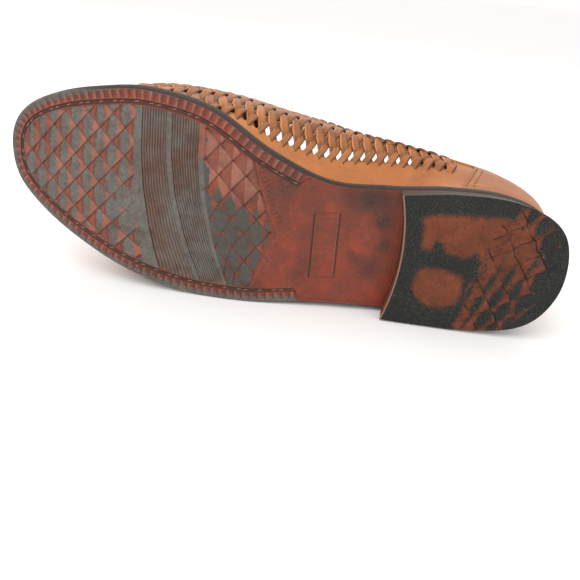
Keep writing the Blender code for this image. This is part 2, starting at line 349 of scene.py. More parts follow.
def darkEdge():
    startFinish("dark edge", 0.5, 0.45)
    rub = between(noise(70, 5, 0.7, place((0.3, 1, 1))), 0.35, 0.75)
    rim = reading("rim")
    colour = coats(
        blend(rub, (0.010, 0.008, 0.0075), (0.036, 0.027, 0.024)),
        # painted highlight and painted shade from the rim reading
        (between(rim, 0, 1, 0, 0.8), (0.17, 0.125, 0.10)),
        (between(rim, 0, -1), (0.006, 0.005, 0.005)),
    )
    return wear(colour, noise(900, 4), 0.10, between(rub, 0, 1, 0.42, 0.62))


def plainThread(name, light, dark):
    startFinish(name, 0.75)
    fluff = between(noise(1500, 2), 0.4, 0.7, 0.0, 0.5)
    return wear(coats(blend(reading("tone"), dark, light), (fluff, dark)), noise(3000, 2), 0.12)


def liningLeather():
    startFinish("lining leather", 0.7, 0.3)
    colour = coats(
        blend(between(noise(30, 5), 0.35, 0.7), (0.30, 0.165, 0.085), (0.44, 0.27, 0.15)),
        (between(noise(90, 4), 0.55, 0.75, 0, 0.5), (0.16, 0.085, 0.045)),
    )
    return wear(colour, plus(cells(1100), noise(400, 4)), 0.12)


def paleFloor():
    startFinish("pale floor", 0.9, 0.15)
    colour = blend(noise(3, 2), (0.972, 0.970, 0.968), (0.985, 0.983, 0.981))
    return wear(colour, noise(60, 2), 0.02)


# each finish with its slot
leather = (tanLeather(), "upper_leather")
rubber = (redRubber(), "sole_rubber")
heelFinish = (heelRubber(), "heel_rubber")
edge = (darkEdge(), "edge_leather")
soleThread = (plainThread("sole thread", (0.30, 0.19, 0.14), (0.040, 0.024, 0.020)), "edge_leather")
counterThread = (plainThread("upper thread", (0.34, 0.16, 0.07), (0.10, 0.04, 0.018)), "upper_leather")
weltThread = (counterThread[0], "edge_leather")
lining = (liningLeather(), "lining_leather")
print("finishes")

# the last, which gives the shoe its shape, in mm
last = {
    "length": 300.0,
    "heelUp": 14.0,
    "heelFront": 86.0,
    "heelHollow": 5.0,
    "heelSkew": 3.5,
    "heelFlare": 2.0,
    "heelMiddle": (43.0, -2.0),
    "shankEnd": 170.0,
    "flatEnd": 205.0,
    "toeSpring": 19.0,
    "shankTwist": 0.29,
    "outsole": 5.0,
    "welt": 3.4,
    "insole": 4.5,
    "gap": 0.3,
    "backLean": -1.0,
    "toeLean": 292.0,
    "ridgeBack": 38.0,
    "ridgeFront": 262.0,
    "throat": 180.0,
}
soleTop = last["outsole"] + last["gap"]
# x, then half widths of the sole (medial, lateral) and of the upper's widest line, and its height
form = np.array((
    (0, -2.0, 2.0, -2.0, 2.0, 24),
    (8, 23.5, 24.5, 23.5, 23.5, 24),
    (34, 33.5, 35.5, 34.0, 34.5, 25),
    (64, 31.0, 39.5, 38.0, 39.0, 27),
    (95, 24.0, 42.0, 40.5, 41.5, 27),
    (125, 21.5, 45.5, 41.5, 45.0, 26),
    (158, 32.0, 51.5, 45.0, 49.5, 25),
    (190, 46.5, 53.5, 48.5, 51.0, 25),
    (222, 49.5, 49.5, 48.0, 47.0, 22),
    (254, 42.5, 39.5, 40.5, 37.0, 19),
    (282, 30.5, 26.0, 28.5, 23.5, 15),
    (296, 17.5, 13.0, 16.0, 11.0, 13),
    (300, 3.5, -3.5, 3.0, -3.0, 12),
)).T
# x, height and sideways place of the ridge over instep and toe
ridge = np.array((
    (38, 120.0, -1), (100, 120.0, 0), (125, 114.0, 1), (145, 106.0, 1.5), (160, 98.5, 2),
    (175, 90.0, 2.5), (190, 80.5, 3), (210, 69.0, 3), (230, 59.5, 2.5), (247, 52.5, 2),
    (262, 47.5, 2), (280, 43.5, 2), (300, 40.0, 2),
)).T
collar = np.array((
    (38, 83.0), (52, 76.0), (67, 64.0), (82, 56.0), (98, 52.5), (112, 51.5), (127, 52.0),
    (142, 56.0), (155, 62.0), (165, 70.0), (173, 78.0), (180, 87.0),
)).T
marginLine = np.array(((0, 1.0), (60, 1.0), (110, 1.5), (150, 2.5), (200, 3.5), (300, 3.5))).T


def smooth(places, values, at):
    step = np.diff(places)
    slope = np.diff(values) / step
    inner = (slope[:-1] * step[1:] + slope[1:] * step[:-1]) / (step[1:] + step[:-1])
    lean = np.concatenate([slope[:1], inner, slope[-1:]])
    at = np.clip(at, places[0], places[-1])
    k = np.clip(np.searchsorted(places, at, side="right") - 1, 0, len(places) - 2)
    t = (at - places[k]) / step[k]
    start = (1 + 2 * t) * (1 - t) ** 2 * values[k] + t * (1 - t) ** 2 * step[k] * lean[k]
    end = t**2 * (3 - 2 * t) * values[k + 1] - t**2 * (1 - t) * step[k] * lean[k + 1]
    return start + end


def turnAt(x):
    return np.arccos(np.clip(1 - 2 * np.asarray(x, float) / last["length"], -1, 1))


def ridgeAt(turn):
    return last["ridgeBack"] + (last["ridgeFront"] - last["ridgeBack"]) * (1 - np.cos(turn)) / 2


formTurns = turnAt(form[0])


def halfTurn(turn):
    turn = np.mod(turn, 2 * math.pi)
    medial = turn <= math.pi
    return medial, np.where(medial, turn, 2 * math.pi - turn)


def formLine(first, turn, back, front):
    medial, t = halfTurn(turn)
    x = back + (front - back) * (1 - np.cos(t)) / 2
    return x, np.where(medial, smooth(formTurns, form[first], t), -smooth(formTurns, form[first + 1], t))


def soleLine(turn, inset=0.0):
    x, y = formLine(1, turn, 0, last["length"])
    x0, y0 = formLine(1, turn - 1e-4, 0, last["length"])
    x1, y1 = formLine(1, turn + 1e-4, 0, last["length"])
    dx, dy = x1 - x0, y1 - y0
    far = np.hypot(dx, dy)
    return x + dy / far * inset, y - dx / far * inset


def margin(turn):
    return smooth(marginLine[0], marginLine[1], last["length"] * (1 - np.cos(halfTurn(turn)[1])) / 2)


def underside(x, y):
    spring = last["toeSpring"] * np.clip((x - last["flatEnd"]) / (last["length"] - last["flatEnd"]), 0, 1.2) ** 1.8
    share = np.clip((last["shankEnd"] - x) / (last["shankEnd"] - last["heelFront"] - 5), 0, 1)
    arch = last["heelUp"] * share**2 * (3 - 2 * share)
    return spring + arch * (1 + last["shankTwist"] * np.clip((x - 60) / 40, 0, 1) * y / 35)


def overSole(x, y, up=0.0):
    return np.stack([x, y, underside(x, y) + up], -1)


def sideLine(turn):
    # the widest line round the upper
    return formLine(3, turn, last["backLean"], last["toeLean"])


def upperPoint(turn, rise, out=0.0):
    turn, rise = np.broadcast_arrays(np.asarray(turn, float), np.asarray(rise, float))
    if np.any(out):
        around = upperPoint(turn + 1e-3, rise) - upperPoint(turn - 1e-3, rise)
        up = upperPoint(turn, rise + 1e-3) - upperPoint(turn, rise - 1e-3)
        normal = np.cross(up, around)
        normal /= np.linalg.norm(normal, axis=-1, keepdims=True)
        return upperPoint(turn, rise) + np.expand_dims(out, -1) * normal
    t = halfTurn(turn)[1]
    footX, footY = soleLine(turn, margin(turn))
    footZ = underside(footX, footY) + soleTop + last["welt"] + last["gap"]
    sideX, sideY = sideLine(turn)
    sideZ = footZ + smooth(formTurns, form[5], t)
    ridgeX = ridgeAt(t)
    ridgeY = smooth(ridge[0], ridge[2], ridgeX)
    low = np.clip(rise, 0, 1)
    ease = low**2 * (3 - 2 * low)
    angle = np.clip(rise - 1, 0, 1) * math.pi / 2
    inwards = np.maximum(np.cos(angle), 0) ** 0.9
    x = ridgeX + (sideX - ridgeX) * inwards
    y = ridgeY + (sideY - ridgeY) * inwards
    z = sideZ + (smooth(ridge[0], ridge[1], x) - sideZ) * np.sin(angle) ** 0.96
    lowest = (footX + (sideX - footX) * ease, footY + (sideY - footY) * ease, footZ + (sideZ - footZ) * low)
    return np.where(np.expand_dims(rise > 1, -1), np.stack((x, y, z), -1), np.stack(lowest, -1))


def ridgeTurn(x):
    return math.acos(1 - 2 * (x - last["ridgeBack"]) / (last["ridgeFront"] - last["ridgeBack"]))


def collarRise(turn):
    ridgeX = float(ridgeAt(halfTurn(turn)[1]))
    if ridgeX > last["throat"] - 1e-6:
        return 2.0
    rises = np.linspace(1, 2, 201)
    return float(np.interp(smooth(collar[0], collar[1], ridgeX), upperPoint(turn, rises)[:, 2], rises))


wallSteps = 80


def along(path):
    return np.concatenate([[0], np.cumsum(np.linalg.norm(np.diff(path, axis=0), axis=1))])


def wallSections(side):
    # cross-sections of the upper at steps of x, each spaced evenly from foot to ridge
    turns, rises = side * np.linspace(0.0, math.pi, 500), np.linspace(0, 2, 91)
    shape = upperPoint(turns[:, None], rises[None, :])
    front = shape[-1]
    places = np.arange(20.0, 293.6, 1.0)
    points, heights = [], []
    for x in places:
        keep = front[:, 0] >= x
        lines = [shape[:, k] for k in np.flatnonzero(keep)]
        if not keep.all():
            lines.append(front[::-1])
        line = np.array([(x, *(np.interp(x, one[:, 0], one[:, axis]) for axis in (1, 2))) for one in lines])
        far = along(line)
        even = np.linspace(0, far[-1], wallSteps + 1)
        points.append(np.stack([np.interp(even, far, line[:, axis]) for axis in range(3)], -1))
        heights.append(far[-1])
    return {"x": places, "points": np.array(points), "height": np.array(heights), "side": side}


walls = {1: wallSections(1), -1: wallSections(-1)}


def wallHeight(wall, x):
    return np.interp(x, wall["x"], wall["height"])


def wallSpot(wall, x, v):
    x, v = np.asarray(x, float), np.asarray(v, float)
    i = np.clip((x - wall["x"][0]) / 1.0, 0, len(wall["x"]) - 1.001)
    j = np.clip(v / wallHeight(wall, x) * wallSteps, 0, wallSteps - 0.001)
    i0, j0 = i.astype(int), j.astype(int)
    fi, fj = (i - i0)[:, None], (j - j0)[:, None]
    grid = wall["points"]
    low = grid[i0, j0] * (1 - fi) + grid[i0 + 1, j0] * fi
    high = grid[i0, j0 + 1] * (1 - fi) + grid[i0 + 1, j0 + 1] * fi
    return low * (1 - fj) + high * fj


def wallFrame(wall, x, v):
    ahead = wallSpot(wall, x + 0.8, v) - wallSpot(wall, x - 0.8, v)
    top = wallHeight(wall, x)
    up = wallSpot(wall, x, np.minimum(v + 0.8, top)) - wallSpot(wall, x, np.minimum(v + 0.8, top) - 1.6)
    normal = np.cross(up, ahead) * wall["side"]
    return wallSpot(wall, x, v), normal / np.linalg.norm(normal, axis=1, keepdims=True)


print("last")


# mesh helpers
def layersFor(bm, names):
    # every layer is made before the verts, because a new one drops what points at them
    for name in names:
        if not bm.verts.layers.float.get(name):
            bm.verts.layers.float.new(name)
    return {name: bm.verts.layers.float[name] for name in names}


def layGrid(bm, points, **values):
    rows, columns = points.shape[:2]
    layers = layersFor(bm, values)
    made = bmesh.ops.create_grid(bm, x_segments=columns - 1, y_segments=rows - 1, size=1)["verts"]
    for vert, spot in zip(made, points.reshape(-1, 3)):
        vert.co = spot
    for name, value in values.items():
        for vert, given in zip(made, np.broadcast_to(value, (rows, columns)).ravel()):
            vert[layers[name]] = given


def closed(outer, inner):
    # once round a section that has an outer face and an inner one
    return np.concatenate([outer, inner[:, ::-1], outer[:, :1]], 1)


def addPiece(name, bm, finish, stands=(), sharp=60, weld=1e-4):
    if weld:
        bmesh.ops.remove_doubles(bm, verts=bm.verts[:], dist=weld)
    bmesh.ops.dissolve_degenerate(bm, edges=bm.edges[:], dist=1e-4)
    bmesh.ops.holes_fill(bm, edges=[e for e in bm.edges if e.is_boundary], sides=0)
    bmesh.ops.recalc_face_normals(bm, faces=bm.faces[:])
    mesh = bpy.data.meshes.new(name)
    bm.to_mesh(mesh)
    bm.free()
    mesh.transform(Matrix.Scale(mm, 4))
    mesh.transform(lay)
    mesh.materials.append(finish[0])
    mesh.shade_smooth()
    mesh.set_sharp_from_angle(angle=math.radians(sharp))
    piece = bpy.data.objects.new(name, mesh)
    bpy.context.scene.collection.objects.link(piece)
    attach(piece, "root")
    if stands:
        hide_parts(*stands)
    print(f"{name}: {len(mesh.polygons)} faces")


def addGrid(name, points, finish, stands=(), sharp=60, weld=1e-4, **values):
    bm = bmesh.new()
    layGrid(bm, points, **values)
    addPiece(name, bm, finish, stands, sharp, weld)


def bead(bm, spot, way, up, size, **values):
    way = np.asarray(way) / np.linalg.norm(way)
    across = np.cross(up, way)
    across /= np.linalg.norm(across)
    up = np.cross(way, across)
    turn = Matrix((way * size[0], across * size[1], up * size[2])).transposed().to_4x4()
    layers = layersFor(bm, values)
    sit = Matrix.Translation(spot) @ turn @ Matrix.Rotation(math.pi / 2, 4, "Y")
    for vert in bmesh.ops.create_uvsphere(bm, u_segments=6, v_segments=4, radius=1, matrix=sit)["verts"]:
        for name, value in values.items():
            vert[layers[name]] = value


def heading(path):
    tangent = np.gradient(path, axis=0)
    return tangent / np.linalg.norm(tangent, axis=1, keepdims=True)


# across -1 to 1 and height, once round a strip's section, and the shade of its edges
stripSection = (
    (-1, 0), (-0.92, 0.32), (-0.55, 0.52), (0, 0.6), (0.55, 0.52),
    (0.92, 0.32), (1, 0), (0.85, -0.44), (-0.85, -0.44), (-1, 0),
)
# painted shade at a strip's edges and under it, a painted highlight along one edge (cut), and a painted shadow along
# an edge that stands lifted
stripShade = {"edge": 0.9, "under": 1.1, "cut": -1.9, "share": 0.6, "lifted": 2.0}


def layStrip(bm, path, normal, width, thick, shade=0.0, roll=0.0, bright=0):
    tangent = heading(path)
    across = np.cross(normal, tangent)
    across /= np.linalg.norm(across, axis=1, keepdims=True)
    up = np.cross(tangent, across)
    width = np.broadcast_to(width, len(path))[:, None] / 2
    roll = np.broadcast_to(roll, len(path))[:, None]
    rows = np.stack([path + across * width * a + up * (thick * h + roll * a) for a, h in stripSection], 1)
    sides = np.array([a for a, h in stripSection])
    edge = np.array([abs(a) ** 3 * stripShade["edge"] if h >= 0.1 else stripShade["under"] for a, h in stripSection])
    # a painted highlight along the edge that faces bright
    edge[sides * bright == 0.92] = stripShade["cut"]
    # a painted shadow along the lifted edge
    lifted = np.clip(roll * sides[None, :], 0, 1) * (np.abs(sides) > 0.9)
    shade = np.broadcast_to(shade, len(path))[:, None]
    layGrid(bm, rows, shade=shade + edge[None, :] * stripShade["share"] + lifted * stripShade["lifted"])


def layTube(bm, path, radius, sides=8, flat=1.0, **values):
    tangent = heading(path)
    guide = np.cross(tangent, (0.3, 0.2, 1.0))
    guide /= np.linalg.norm(guide, axis=1, keepdims=True)
    other = np.cross(tangent, guide)
    angles = np.linspace(0, 2 * math.pi, sides + 1)
    rows = np.stack([path + radius * (guide * math.cos(a) + other * math.sin(a) * flat) for a in angles], 1)
    layGrid(bm, rows, **values)


def spaced(path, step, start=0.0):
    far = along(path)
    at = np.arange(start, far[-1], step)
    return np.stack([np.interp(at, far, path[:, k]) for k in range(path.shape[1])], -1)


# the outsole's tread, inside the channel; bends move the lines of the pattern with y
tread = {
    "step": 0.62,
    "channel": 8.4,  # how far in from the edge the tread starts
    "channelEnd": (140, 131),  # where the channel stops on the medial and the lateral side
    "bend": np.array((
        (-55, -32), (-45, -26.5), (-40, -24), (-30, -18.5), (-20, -13.8), (0, -6.4), (20, -2.0), (43, 0), (55, 0),
    )).T,
    "bendShare": np.array((
        (0, 0), (120, 0.1), (160, 0.4), (176, 0.52), (190, 0.85), (196, 1),
        (212, 1), (225, 0.74), (230, 0.45), (242, 0.25), (262, 0.1), (300, 0.0),
    )).T,
    "columns": 151,
    "ribs": ((196.2, 209.9, 10), (212.8, 225.3, 9)),  # start, end and count
    "ribDeep": 0.7,
    "ribWorn": 0.62,
    # where each field of lozenges lies, its lattice, and how far they are worn at rest and at most
    "front": {
        "from": 228.6, "to": 310.0, "node": (247.0, 24.9), "half": (6.65, 7.2), "lean": 0.22,
        "rest": 0.36, "most": 0.86,
    },
    "back": {
        "from": 140.0, "to": 193.2, "node": (184.9, 30.75), "half": (7.45, 7.65), "lean": 0.17,
        "rest": -0.35, "most": 0.62,
    },
    "scoreDeep": 0.45,
    "clean": (196.3, 22),  # the least rubbed corner lies behind this x and above this y
    "smudgeEnd": 165,
    "bands": ((225.3, 228.7), (209.9, 212.8), (193.2, 196.2)),  # plain bands between the patterns
    "deep": 1.25,
    "patch": ((193.3, 43), (176, 37), (168, 30), (150.5, -9.2), (157.5, -46), (150, -60), (200, -60), (200, 43)),
}
# centre x, y, reach and strength of the places where the tread is worn, rubbed or soiled more or less
wornFront = (
    (226, -14, 12, 0.42), (236, -6, 9, 0.16), (252, -32, 15, -0.2), (290, 12, 16, -0.16),
    (272, -14, 7, 0.2), (287, -8, 8, 0.12), (262, 32, 9, 0.12),
)
wornBack = (
    (176, -16, 15, 0.36), (166, -36, 12, 0.22), (184, -14, 9, 0.2),
    (161, -12, 8, 0.28), (184, 8, 9, 0.22), (170, 2, 8, 0.12),
)
rubbedRibs = (
    (224, 40, 30, 0.5), (205, 8, 16, 0.35), (222, -12, 12, 0.4), (200, -22, 9, 0.4),
    (212, -45, 16, -0.6), (205, 42, 12, -0.7), (199, -4, 9, -0.3), (218, 5, 9, -0.2),
)
smudges = (
    (100, 17, 8, 1.0), (94, 6, 5, 1.0), (90, -6, 4, 0.8), (96, -20, 8, 0.6), (104, -14, 5, 0.7),
    (128, -22, 7, 0.5), (134, -30, 6, 0.5), (150, 12, 9, 0.35), (116, 18, 9, 0.45), (145, 18, 6, 0.4),
    (102, -11, 4, -0.75), (100, -2, 4.5, -0.75), (150, -24, 13, -0.45),
)


def blobs(spots, x, y):
    return sum(force * np.exp(-((x - cx) ** 2 + (y - cy) ** 2) / reach**2) for cx, cy, reach, force in spots)


def smudgeAt(x, y):
    return blobs(smudges, x, y) * (x < tread["smudgeEnd"])


def step01(value):
    value = np.clip(value, 0, 1)
    return value * value * (3 - 2 * value)


def lozenges(field, w, y):
    # place in the lattice: u across a lozenge, v along it, both -1 to 1
    p = (w - field["node"][0]) / field["half"][0]
    q = (y - field["node"][1] + field["lean"] * (w - field["node"][0])) / field["half"][1]
    a, b = p + q, p - q
    ca, cb = 2 * np.floor(a / 2) + 1, 2 * np.floor(b / 2) + 1
    u, v = ((a - ca) + (b - cb)) / 2, ((a - ca) - (b - cb)) / 2
    return a, b, u, v


def insideOf(corners, x, y):
    inside = np.zeros(x.shape, bool)
    for (x0, y0), (x1, y1) in zip(corners, corners[1:] + corners[:1]):
        crosses = (y0 > y) != (y1 > y)
        inside ^= crosses & (x < (x1 - x0) * (y - y0) / ((y1 - y0) or 1e-9) + x0)
    return inside


def grooves(u, v, wide):
    # scored lines round a lozenge, 1 in the middle of a line
    return np.clip(1 - (1 - np.abs(u) - np.abs(v)) * wide, 0, 1)


def treadHeights(w, x, y):
    # depth into the sole and what the finish reads, at every point of the tread
    names = ("deep", "worn", "tone", "scored", "scoreA", "scoreB", "dark", "ribbed")
    given = {name: np.zeros(x.shape) for name in names}
    given["worn"] -= 1.0

    def press(inside, **values):
        for name, value in values.items():
            given[name] = np.where(inside, value, given[name])

    for name in ("front", "back"):
        field = tread[name]
        a, b, u, v = lozenges(field, w, y)
        inside = (w > field["from"]) & (w < field["to"])
        # painted light on the lozenges: one half of each is made pinker and the other more orange; in the back field
        # both turn more orange towards low y
        if name == "back":
            inside &= insideOf(tread["patch"], x, y)
            reach = field["rest"] + 0.62 * step01((16 - y - (190 - x) * 0.25) / 14) + blobs(wornBack, x, y)
            reach = np.where(x > 187, np.maximum(reach, 0.4 * step01((22 - y) / 6)), reach)
            facetLight = np.where(u < 0, 1.0, 0.3) - 0.95 * step01((14 - y) / 20)
        else:
            reach = field["rest"] + blobs(wornFront, x, y)
            facetLight = np.where(u < 0, 1.0, -0.85) * (1 - 0.5 * (x > 275))
        reach = np.clip(reach, -0.6, field["most"])
        lens = reach * (1 - 0.42 * v**2) - np.abs(u)
        height = np.minimum(1 - np.abs(u), 1 - np.maximum(reach, 0))
        deep = tread["deep"] * (1 - np.maximum(reach, 0) - height) + tread["scoreDeep"] * grooves(u, v, 7)
        press(inside, deep=deep, worn=lens, tone=facetLight, scored=1.0, scoreA=a, scoreB=b)
    rubbed = tread["ribWorn"] + blobs(rubbedRibs, x, y)
    for start, end, count in tread["ribs"]:
        inside = (w >= start) & (w <= end)
        low = 0.5 + 0.5 * np.cos((w - start) / (end - start) * count * 2 * math.pi)
        # painted shade in the ribs' grooves
        press(inside, deep=tread["ribDeep"] * low, worn=-0.7, dark=0.66 * low**1.3)
        press(inside, ribbed=np.clip(0.55 + 0.5 * rubbed, 0, 1))
    band = np.any([(w > start) & (w < end) for start, end in tread["bands"]], 0)
    clean = (w < tread["clean"][0]) & (y > tread["clean"][1])
    press(band, worn=np.where(clean, -0.5, 0.5))
    press(band & clean, tone=0.6)
    given["grubby"] = 0.75 * given["scored"] * (w < 200)
    given["smudge"] = smudgeAt(x, y)
    return given.pop("deep"), given


perimeterTurns = turnAt(np.linspace(0, last["length"], 900))
perimeterTurns = np.concatenate([perimeterTurns, 2 * math.pi - perimeterTurns[-2::-1]])
perimeterFar = along(np.stack(soleLine(perimeterTurns), -1))


def channelShare(x, medial):
    # 1 where the channel and the rim's bars run, falling to 0 on the shank
    end = np.where(medial, tread["channelEnd"][0], tread["channelEnd"][1])
    return step01((x - end + 3) / 3)


def treadInset(turn):
    medial = halfTurn(turn)[0]
    return 1.3 + (tread["channel"] - 1.3) * channelShare(soleLine(turn)[0], medial)


def makeTread():
    ribLines = [np.linspace(start, end, count * 4 + 1) for start, end, count in tread["ribs"]]
    lines = np.unique(np.round(np.concatenate([
        np.arange(4, 84, 8), np.arange(84, 140, 2.5), np.arange(140, 196.2, tread["step"]), *ribLines,
        (196.15, 209.95, 211.3, 212.75, 225.35), np.arange(225.4, 292.2, tread["step"]),
    ]), 3))
    turns = np.linspace(0.02, math.pi - 0.004, 1200)
    edges = [np.stack(soleLine(side * turns, treadInset(side * turns))) for side in (1, -1)]
    share = np.linspace(0, 1, tread["columns"])[None, :]
    w = lines[:, None]

    def bent(y):
        return w + np.interp(w, *tread["bendShare"]) * np.interp(y, *tread["bend"])

    y = np.zeros((len(lines), tread["columns"]))
    for _ in range(4):
        inner, outer = (np.interp(bent(y), *edge) for edge in edges)
        y = outer + (inner - outer) * share
    x = bent(y)
    w = np.broadcast_to(w, x.shape)
    deep, given = treadHeights(w, x, y)
    margins = np.minimum(share, 1 - share) * (inner - outer)
    deep = np.where(margins < 0.5, np.maximum(deep, 0.12), deep)
    low = overSole(x, y, deep)
    back = overSole(x[:, ::-30], y[:, ::-30], last["outsole"] - 0.1)
    values = {name: np.concatenate([value, value[:, ::-30], value[:, :1]], 1) for name, value in given.items()}
    points = np.concatenate([low, back, low[:, :1]], 1)
    addGrid("outsole_tread", points, rubber, ("outsole",), **values)


# the outsole's edge, its rim with bars, and the channel
rim = {
    "barPitch": 4.45,
    "barDeep": 0.55,
    # inset, depth and whether the bars stand there, round the section from the inner top corner
    "section": (
        (9.4, 5.0, 0), (0.8, 5.0, 0), (0.2, 4.85, 0), (0.0, 4.4, 0), (0.0, 0.9, 0), (0.15, 0.3, 0),
        (0.7, 0.05, 0), (1.2, 0.0, 0.3), (1.9, 0.0, 1), (2.8, 0.0, 1), (3.7, 0.0, 1), (4.6, 0.0, 1),
        (5.2, 0.0, 0.6), (5.7, 0.03, 0), (5.95, 0.5, 0), (6.2, 0.7, 0), (6.6, 0.7, 0), (7.1, 0.7, 0),
        (7.5, 0.7, 0), (7.75, 0.5, 0), (8.0, 0.03, 0), (8.4, 0.0, 0), (9.4, 0.6, 0),
    ),
    # painted shade in the channel, darkest along its walls
    "channelDark": {5.95: 0.9, 6.2: 0.9, 6.6: 0.4, 7.1: 0.3, 7.5: 0.8, 7.75: 0.8},
    # where six steps along each bar fall, how high they stand, and the painted shade in the notch after them; the
    # higher steps also get a painted highlight
    "steps": (0.0, 0.13, 0.27, 0.5, 0.74, 0.88),
    "bar": (1.0, 0.5, 0.12, 0.0, 0.05, 0.55),
    "notchShade": (0.0, 0.0, 0.0, 0.1, 0.5, 0.28),
    # how wide the grey rubbed margin is at places along the sole, on the medial and the lateral side
    "rubbed": np.array((
        (100, 0.5, 1.0), (135, 0.6, 3.3), (190, 0.8, 3.5), (235, 1.3, 3.3),
        (258, 2.6, 3.2), (275, 3.6, 3.2), (300, 2.9, 2.9),
    )).T,
}


def makeRim():
    count = int(perimeterFar[-1] / rim["barPitch"])
    at = ((np.arange(count)[:, None] + np.array(rim["steps"])) / count * perimeterFar[-1]).ravel()
    turns = np.interp(np.append(at, perimeterFar[-1]), perimeterFar, perimeterTurns)
    bar = np.append(np.tile(rim["bar"], count), 1.0)
    notchShade = np.append(np.tile(rim["notchShade"], count), 0.0)
    x0 = soleLine(turns)[0]
    medial = halfTurn(turns)[0]
    share = channelShare(x0, medial)
    reach = treadInset(turns) / tread["channel"]
    greyTo = np.where(medial, *(np.interp(x0, rim["rubbed"][0], wide) for wide in rim["rubbed"][1:]))
    toe = step01((x0 - 255) / 25)
    rows, values = [], {"worn": [], "tone": [], "dark": [], "smudge": []}
    top = last["outsole"]
    for inset, deep, cut in rim["section"] + rim["section"][:1]:
        x, y = soleLine(turns, inset * (reach if inset > 1.1 else 1))
        shallow = deep * (share if deep < top - 0.7 and inset > 1.0 else 1)
        height = shallow + (1 - bar) * rim["barDeep"] * cut * share
        rows.append(overSole(x, y, np.minimum(height, top)))
        channel = rim["channelDark"].get(inset, 0.0)
        # teeth of red reach out into the grey margin at each bar
        worn = np.clip((greyTo - inset - 0.9 * bar) * 0.15, -0.5, 0.5) if inset > 0.9 else np.full(len(turns), 0.5)
        worn = np.where(inset > 5.8, -0.12 + 0.12 * toe, worn)
        values["worn"].append(np.where((share < 0.5) & (inset > 0.6), -1.0, worn) - (channel > 0.5))
        # a painted highlight on the higher steps of each bar
        values["tone"].append(np.where(cut > 0, (bar - 0.05) * share, 0.0))
        wall = np.where(medial & (x0 < 262), 0.96, 0.8) * (inset < 0.15)
        lower = medial * (inset < 0.9) * 0.85 * step01((270 - x0) / 30)
        # painted shade in the notch after each bar
        notchShades = cut * 1.15 * notchShade * share * (1 - 0.3 * toe)
        values["dark"].append(np.max([channel * share, wall, lower, notchShades], 0))
        values["smudge"].append(smudgeAt(x, y))
    values = {name: np.array(value) for name, value in values.items()}
    addGrid("outsole_rim", np.array(rows), rubber, ("outsole",), sharp=50, **values)


stitching = {"pitch": 3.9, "inset": 6.85, "deep": 0.62, "size": (1.5, 0.34, 0.3), "twist": 0.22}


def stitches(path):
    # where each stitch sits, and the way it runs
    return enumerate(zip(path[1:-1], path[2:] - path[:-2]), 1)


def sewSole():
    steps = np.arange(len(perimeterTurns))
    ends = [turnAt(x) for x in tread["channelEnd"]]
    start, end = (np.interp(turn, perimeterTurns, steps) for turn in (ends[0], 2 * math.pi - ends[1]))
    x, y = soleLine(np.interp(np.arange(start, end), steps, perimeterTurns), stitching["inset"])
    bm = bmesh.new()
    for k, (spot, way) in stitches(spaced(overSole(x, y, stitching["deep"]), stitching["pitch"] / 2)):
        way = way + np.cross((0, 0, -1), way) * stitching["twist"] * (1 if k % 2 else -0.6)
        lit = 0.9 if k % 2 and math.sin(k * 1.9) > -0.2 else 0.1
        bead(bm, spot, way, (0, 0, -1), stitching["size"], tone=lit)
    addPiece("sole_stitching", bm, soleThread, sharp=80, weld=0)


makeTread()
makeRim()
sewSole()

# marks pressed into the shank: a bare frame, and ticks beside the rear patch
marks = {
    "frame": ((130.6, 5.2), (117.5, 7.0), (112.5, -28.5), (125.8, -31.0)),
    "frameInset": 1.5,
    "border": ((166.5, 26), (160.5, 12), (153.5, -1.5), (148.2, -9.2), (151.2, -17), (154.8, -31), (157.3, -44)),
    "borderGap": 1.7,
    "ticks": 30,
    "tick": (1.75, 0.30, 0.22),
}


def scoreLine(bm, corners, radius, dark, tone=0.0):
    path = spaced(np.array([overSole(*corner) for corner in corners]), 1.0)
    layTube(bm, path, radius, 6, 0.7, dark=dark, tone=tone, worn=-1.0)


def pressMarks():
    bm = bmesh.new()
    corners = [np.array(corner) for corner in marks["frame"]]
    middle = np.mean(corners, axis=0)
    inner = [c + (middle - c) / np.linalg.norm(middle - c) * marks["frameInset"] * 1.35 for c in corners]
    # the long sides are pressed deeper than the short ones, and each line's dark is painted shade in the press; the
    # inner ring and the line beside the frame carry a painted highlight
    rings = ((corners, 0.34, (0.35, 0.85, 0.35, 0.95)), (inner, 0.17, (0.25, 0.0, 0.2, 0.0)))
    for ring, radius, depthAndShade in rings:
        for a, b, dark in zip(ring, ring[1:] + ring[:1], depthAndShade):
            scoreLine(bm, (a, b), radius * (1.25 if dark > 0.8 else 0.8), dark, 0.7 if dark < 0.3 else 0.1)
    scoreLine(bm, [c + (0.75, 0) for c in corners[1:3]], 0.16, 0.0, 0.9)
    border = np.array(marks["border"], float)
    scoreLine(bm, border, 0.26, 0.35, 0.3)
    scoreLine(bm, border - (marks["borderGap"], 0), 0.2, 0.15, 0.6)
    path = spaced(border, float(along(border)[-1]) / marks["ticks"], 2.0)
    for k, spot in enumerate(path):
        if spot[1] > -7 or spot[1] < -13:
            upperArm = spot[1] > -8
            way = np.array((-1.0, 0.75) if upperArm else (-1.0, -0.1 + 0.3 * math.sin(k * 2.1)))
            way /= np.linalg.norm(way)
            long = marks["tick"][0] * (1.0 if upperArm else 0.55) * (1 + 0.22 * math.sin(k * 1.7))
            off = 2.2 + long if upperArm else 3.4 + 1.4 * math.sin(k * 2.6)
            size = (long, *marks["tick"][1:])
            bead(bm, overSole(*(spot + way * off)), (*way, 0), (0, 0, -1), size, dark=0.62, worn=-1.0)
    addPiece("sole_marks", bm, rubber)


pressMarks()

